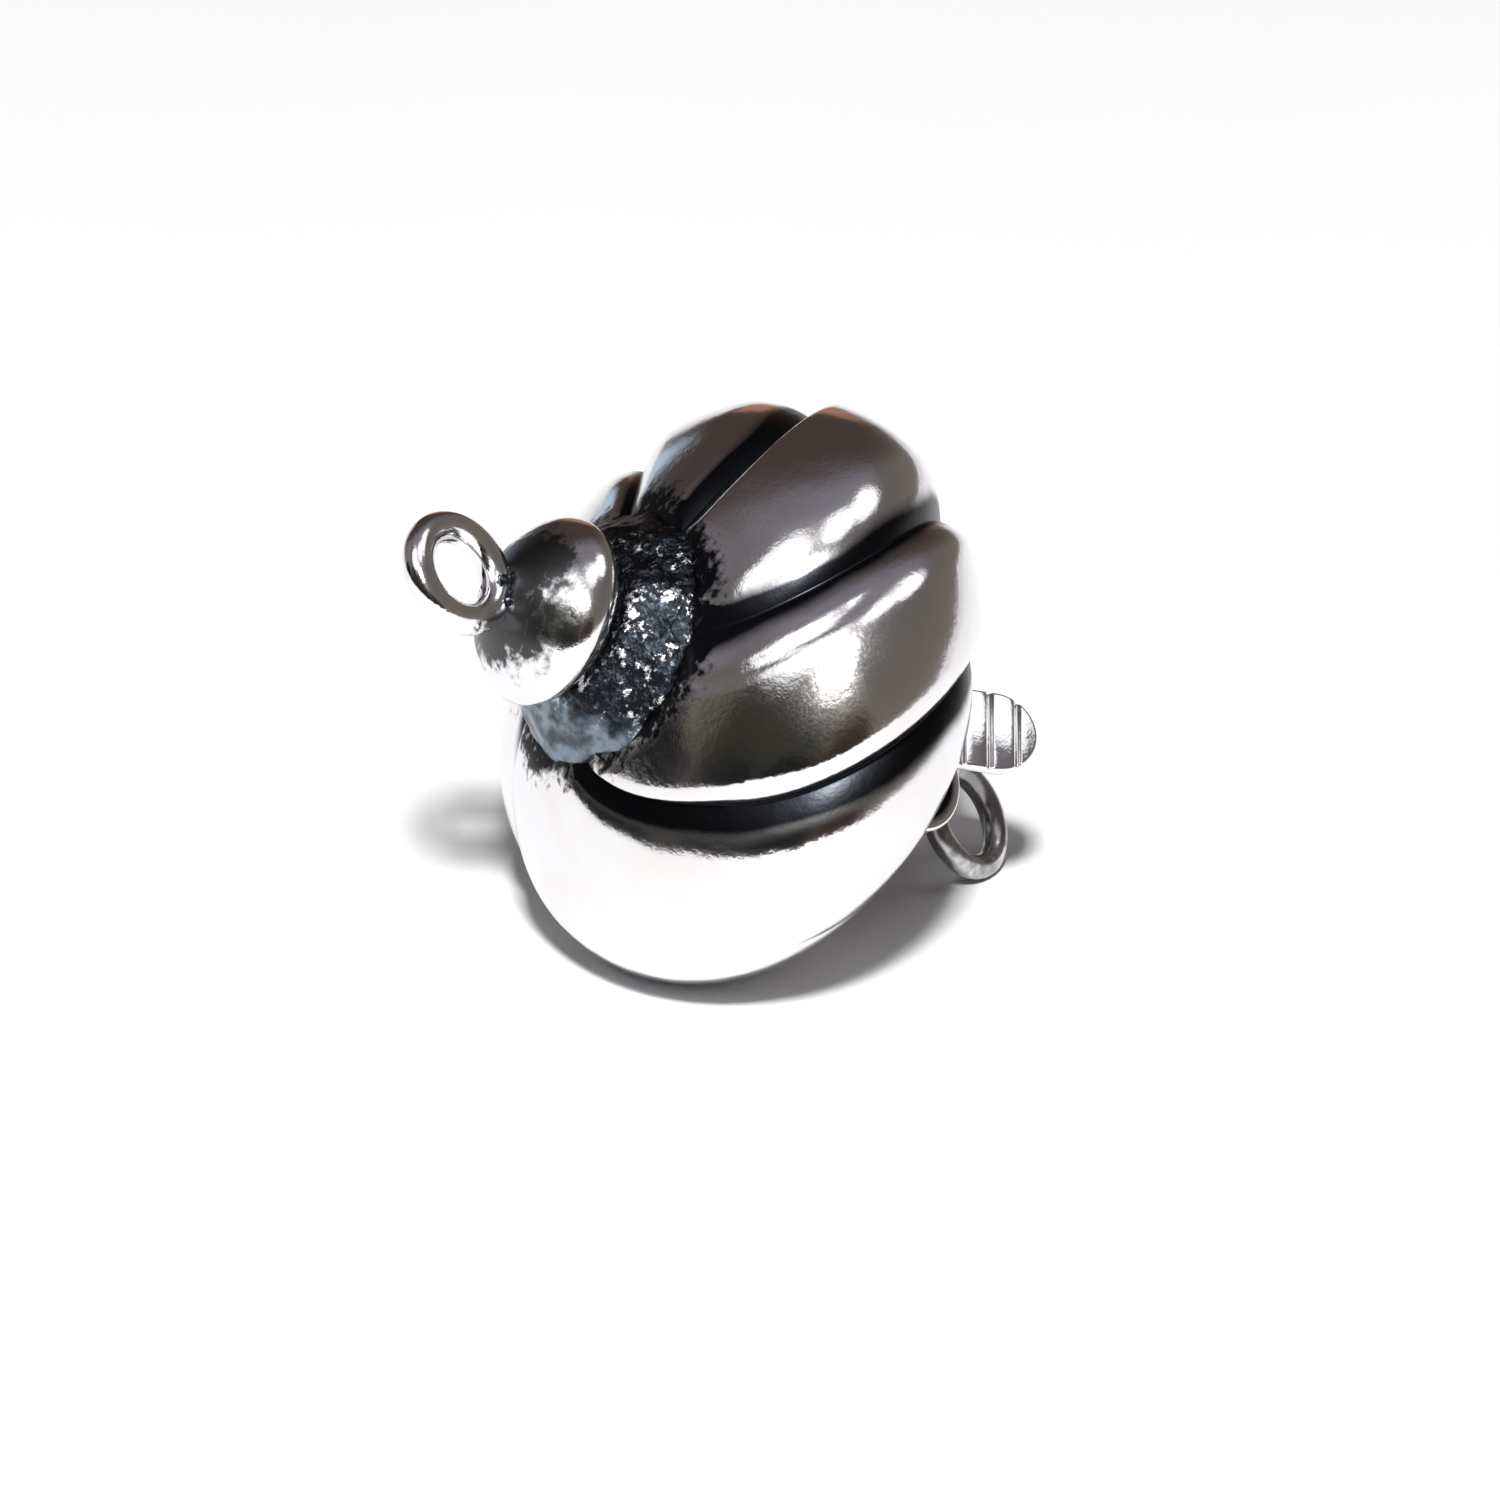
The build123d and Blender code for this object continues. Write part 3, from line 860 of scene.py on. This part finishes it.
class CLASP_OT_rings(ClaspOperator, bpy.types.Operator):
    """Make the two closed wire rings and the solder that holds them"""

    bl_idname = "clasp.rings"
    bl_label = "Wire Rings"

    def execute(self, context):
        scene = context.scene
        fittings = scene.clasp_fittings
        silvers = {
            "ball": polished_silver(scene.clasp_finish, "ring_wire_silver", wobble=1.2),
            # The tongue's ring carries painted shade: a brown-black darkening in noisy patches.
            "tongue": polished_silver(
                scene.clasp_finish, "painted_shade_ring_silver", wobble=1.2, darkened=black_on_wire,
            ),
        }
        droop = Vector((0, 0, 1)).rotation_difference(TONGUE_RING_FACING).to_matrix().to_4x4()
        rings = (
            ("cap_end_ring", fittings.cap_wire / 2, Matrix.Translation((-CAP_RING_REACH, 0, 0)), "ball"),
            ("tongue_end_ring", fittings.tongue_wire / 2, Matrix.Translation(TONGUE_RING) @ droop, "tongue"),
        )
        for name, wire, place, body in rings:
            sizes = {"Radius": fittings.ring_diameter / 2 - wire, "Wire": wire, "Steps": 128, "Sides": 40}
            ring = grown(ring_tree(sizes, silvers[body]), sizes, name)
            ring.data.transform(place)
            laid_down(ring, body, "polished_silver" if body == "ball" else "strip_silver")
        solder = rough_silver(scene.clasp_finish)
        joint, size = (-6.98, 0, 0), (0.50, 0.62, 0.55)
        cap_solder = blob("cap_ring_solder", joint, size, solder, roughness=0.40, seed=3.0)
        laid_down(cap_solder, "ball", "polished_silver")
        inside, above = 0.3, 0.35
        joint = TONGUE_RING / MM - Vector((fittings.ring_diameter / 2 / MM - inside, 0, -above))
        size = (0.45, 0.5, 0.42)
        tongue_solder = blob("tongue_ring_solder", joint, size, solder, roughness=0.25, seed=5.0)
        laid_down(tongue_solder, "tongue", "strip_silver")
        return {"FINISHED"}


class CLASP_OT_tongue(ClaspOperator, bpy.types.Operator):
    """Make the tongue's lower leaf"""

    bl_idname = "clasp.tongue"
    bl_label = "Tongue"

    def execute(self, context):
        scene = context.scene
        fittings = scene.clasp_fittings
        half_length = scene.clasp_ball.length / 2
        end = -half_length * cos(scene.clasp_ball.tongue_end) + fittings.tongue_overhang
        half = fittings.tongue_width / 2
        outline = [(FOLD.x, half), *round_end(end, half, steps=48), (FOLD.x, -half)]
        shape = strip(outline, fittings.tongue_thickness, fittings.edge, [])
        top = max((face for face in shape.faces if face.normal.z > 0.9), key=lambda face: face.calc_area())
        rim_insets = (0.26 * MM, 0.08 * MM)
        for inset in rim_insets:
            bmesh.ops.inset_region(shape, faces=[top], thickness=inset, use_even_offset=True)
        bmesh.ops.translate(shape, verts=shape.verts, vec=(0, 0, FOLD.z))
        roll = Matrix.Translation((FOLD.x, 0, FOLD.z)) @ Matrix.Rotation(pi / 2, 4, "X")
        bmesh.ops.create_cone(
            shape, cap_ends=True, segments=32, radius1=fittings.fold_roll / 2,
            radius2=fittings.fold_roll / 2, depth=fittings.tongue_width, matrix=roll,
        )
        silver = polished_silver(scene.clasp_finish, "strip_silver_lower", wobble=0.8, darkened=black_on_plate)
        plate = from_bmesh("tongue_lower_leaf", shape, silver)
        # Painted shade: the upper face inside the rim is marked black, for the shade between the ball and the
        # leaf.
        rim = 0.28 * MM
        upper_face = FOLD.z + fittings.tongue_thickness / 2 - fittings.edge / 2
        black = plate.data.attributes.new("black", "FLOAT", "CORNER")
        for face in plate.data.polygons:
            places = [plate.data.vertices[i].co for i in face.vertices]
            upper = min(place.z for place in places) > upper_face
            for corner, place in zip(face.loop_indices, places):
                out = hypot(max(0.0, place.x - end), place.y)
                black.data[corner].value = 1.0 if upper and out < half - rim else 0.0
        laid_down(plate, "tongue", "strip_silver")
        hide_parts("tongue_plate")
        return {"FINISHED"}


class CLASP_OT_leaf(ClaspOperator, bpy.types.Operator):
    """Make the spring leaf with its thumb tab and grip lines"""

    bl_idname = "clasp.leaf"
    bl_label = "Spring Leaf"

    def execute(self, context):
        scene = context.scene
        fittings = scene.clasp_fittings
        slot_x = -scene.clasp_ball.length / 2 * cos(scene.clasp_ball.tongue_end)
        hook = fittings.fold_roll / 2 + fittings.fold_gap + fittings.leaf_thickness / 2
        run, rise = slot_x - FOLD.x, fittings.leaf_lift - FOLD.z
        slope = atan2(rise, run) - asin(hook / hypot(run, rise))
        hook_turn = fittings.hook_end - pi / 2 - slope
        hook_length = hook * hook_turn
        straight = sqrt(run**2 + rise**2 - hook**2)
        bend_radius = fittings.bend_radius
        bend_half = bend_radius * tan((fittings.tab_slope - slope) / 2)
        tab = fittings.tab_length / cos(fittings.tab_slope)
        total = hook_length + straight + tab

        def middle(s):
            """A place on the leaf's middle line and the way up from the leaf there."""
            if s < hook_length:
                angle = fittings.hook_end - s / hook
                return Vector((FOLD.x + hook * cos(angle), 0, FOLD.z + hook * sin(angle))), angle
            start = Vector((FOLD.x - hook * sin(slope), 0, FOLD.z + hook * cos(slope)))
            along = s - hook_length
            first = straight - bend_half
            if along < first:
                return start + along * Vector((cos(slope), 0, sin(slope))), slope + pi / 2
            turned_by = min((along - first) / bend_radius, fittings.tab_slope - slope)
            knee = start + first * Vector((cos(slope), 0, sin(slope)))
            centre = knee + bend_radius * Vector((-sin(slope), 0, cos(slope)))
            way = slope + turned_by
            place = centre + bend_radius * Vector((sin(way), 0, -cos(way)))
            rest = along - first - turned_by * bend_radius
            return place + rest * Vector((cos(way), 0, sin(way))), way + pi / 2

        shoulder = hook_length + straight - (scene.clasp_ball.wall + fittings.shoulder_gap) / cos(slope)
        wide, narrow = fittings.leaf_width / 2, fittings.tab_width / 2
        tip = round_end(total - narrow, narrow, steps=40)
        outline = [(0, wide), (shoulder, wide), (shoulder, narrow), *tip]
        outline += [(shoulder, -narrow), (shoulder, -wide), (0, -wide)]
        from_tip = [fittings.grip_margin + k * fittings.grip_spacing for k in range(fittings.grip_lines)]
        grips = [total - out / cos(fittings.tab_slope) for out in from_tip]
        half_line, line_depth = 0.11 * MM, 0.08 * MM
        hook_cuts, bend_cuts, line_cuts = 24, 8, 12
        cuts = [hook_length * k / hook_cuts for k in range(1, hook_cuts + 1)]
        bend_start = hook_length + straight - bend_half
        cuts += [bend_start + 2 * bend_half * k / bend_cuts for k in range(bend_cuts + 1)]
        for grip in grips:
            cuts += [grip + half_line * (2 * k / line_cuts - 1) for k in range(line_cuts + 1)]
        shape = strip(outline, fittings.leaf_thickness, fittings.edge, cuts)
        for vert in shape.verts:
            s, y, h = vert.co
            for grip in grips:
                if h > 0 and abs(s - grip) < half_line:
                    h -= line_depth * (0.5 + 0.5 * cos(pi * (s - grip) / half_line))
            place, up = middle(s)
            vert.co = place + h * Vector((cos(up), 0, sin(up))) + Vector((0, y, 0))
        silver = polished_silver(scene.clasp_finish, "strip_silver_upper", wobble=0.8)
        leaf = from_bmesh("spring_leaf", shape, silver)
        laid_down(leaf, "leaf", "strip_silver")
        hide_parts("press_leaf")
        return {"FINISHED"}


def aim(place, target):
    """A matrix for an object at a place whose -Z looks at a target."""
    look = (Vector(target) - Vector(place)).to_track_quat("-Z", "Y").to_matrix().to_4x4()
    return Matrix.Translation(place) @ look


def from_angles(azimuth, elevation, distance):
    """A place round the ball, from angles in radians."""
    flat = distance * cos(elevation)
    return BALL_CENTRE + Vector((sin(azimuth) * flat, -cos(azimuth) * flat, distance * sin(elevation)))


def softbox(name, azimuth, elevation, distance, width, height, watts, colour):
    """Adds a soft rectangular light that faces the clasp, placed by angles in degrees."""
    light = bpy.data.lights.new(name, "AREA")
    light.shape = "RECTANGLE"
    light.size = width
    light.size_y = height
    light.energy = watts
    light.color = colour
    lamp = bpy.data.objects.new(name, light)
    lamp.matrix_world = aim(from_angles(radians(azimuth), radians(elevation), distance), BALL_CENTRE)
    bpy.context.scene.collection.objects.link(lamp)


def facing_factor(tree, way, patch):
    """1 inside a round patch of the room, 0 outside it, from angles in degrees."""
    azimuth, elevation = radians(patch["azimuth"]), radians(patch["elevation"])
    middle = (sin(azimuth) * cos(elevation), -cos(azimuth) * cos(elevation), sin(elevation))
    inputs = {0: way, 1: middle}
    closeness = Term.node(tree, "ShaderNodeVectorMath", {"operation": "DOT_PRODUCT"}, inputs, "Value")
    return closeness.between(cos(radians(patch["outer"])), cos(radians(patch["inner"])))


def room():
    """The dim warm room that the silver mirrors above the table."""
    world = bpy.data.worlds.new("dim_room")
    world.use_nodes = True
    tree = world.node_tree
    background = tree.nodes["Background"]
    way = Term.node(tree, "ShaderNodeTexCoord", None, None, "Generated")
    height = Term.node(tree, "ShaderNodeSeparateXYZ", None, {0: way}, 2)
    colour = Term.node(tree, "ShaderNodeValToRGB", {"stops": ROOM_HEIGHTS}, {"Fac": height.clamped()})
    for patch in ROOM_PATCHES:
        colour = facing_factor(tree, way, patch).colours(colour, (*patch["colour"], 1.0))
    tree.links.new(colour.socket, background.inputs["Color"])
    background.inputs["Strength"].default_value = 1.0
    bpy.context.scene.world = world


class CLASP_OT_stage(ClaspOperator, bpy.types.Operator):
    """Make the table, the light and the camera"""

    bl_idname = "clasp.stage"
    bl_label = "Table, Light and Camera"

    def execute(self, context):
        scene = context.scene
        stage = scene.clasp_stage
        table = bmesh.new()
        table_radius, gap_below = 0.6, 0.02 * MM
        bmesh.ops.create_circle(table, cap_ends=True, radius=table_radius, segments=96)
        bmesh.ops.translate(table, verts=table.verts, vec=(0, 0, -gap_below))
        top = from_bmesh("table_top", table, table_paint())
        room()
        softbox("key_light", **KEY_LIGHT)

        towards = from_angles(stage.azimuth, stage.elevation, 1.0) - BALL_CENTRE
        right = Vector((cos(stage.azimuth), sin(stage.azimuth), 0))
        up = towards.cross(right)
        target = BALL_CENTRE + stage.aim_right * right - stage.aim_down * up
        camera = bpy.data.cameras.new("camera")
        camera.sensor_width = 36.0
        camera.lens = camera.sensor_width * stage.distance / stage.frame_width
        camera.clip_start = 0.01
        camera.clip_end = 10.0
        viewer = bpy.data.objects.new("camera", camera)
        viewer.matrix_world = aim(target + towards * stage.distance, target)
        scene.collection.objects.link(viewer)
        scene.camera = viewer
        scene.view_settings.view_transform = "Standard"
        return {"FINISHED"}


class CLASP_PT_pieces(bpy.types.Panel):
    """The clasp's operators and sizes, in the sidebar"""

    bl_label = "Round Safety Clasp"
    bl_idname = "CLASP_PT_pieces"
    bl_space_type = "VIEW_3D"
    bl_region_type = "UI"
    bl_category = "Clasp"

    def draw(self, context):
        for operator in OPERATORS:
            self.layout.operator(operator.bl_idname)
        for name in GROUPS:
            group = getattr(context.scene, name)
            for prop in group.bl_rna.properties:
                if prop.identifier not in ("rna_type", "name"):
                    self.layout.prop(group, prop.identifier)


OPERATORS = (
    CLASP_OT_ball,
    CLASP_OT_collar_and_cap,
    CLASP_OT_rings,
    CLASP_OT_tongue,
    CLASP_OT_leaf,
    CLASP_OT_stage,
)
GROUPS = {
    "clasp_ball": ClaspBallSizes,
    "clasp_fittings": ClaspFittingSizes,
    "clasp_finish": ClaspFinish,
    "clasp_stage": ClaspStage,
}


def register():
    for group in GROUPS.values():
        bpy.utils.register_class(group)
    for operator in OPERATORS:
        bpy.utils.register_class(operator)
    bpy.utils.register_class(CLASP_PT_pieces)
    for name, group in GROUPS.items():
        setattr(bpy.types.Scene, name, PointerProperty(type=group))


def unregister():
    for name in GROUPS:
        delattr(bpy.types.Scene, name)
    bpy.utils.unregister_class(CLASP_PT_pieces)
    for operator in reversed(OPERATORS):
        bpy.utils.unregister_class(operator)
    for group in reversed(GROUPS.values()):
        bpy.utils.unregister_class(group)


def main():
    register()
    bpy.ops.clasp.ball()
    bpy.ops.clasp.collar_and_cap()
    bpy.ops.clasp.rings()
    bpy.ops.clasp.tongue()
    bpy.ops.clasp.leaf()
    bpy.ops.clasp.stage()


if __name__ == "__main__":
    main()
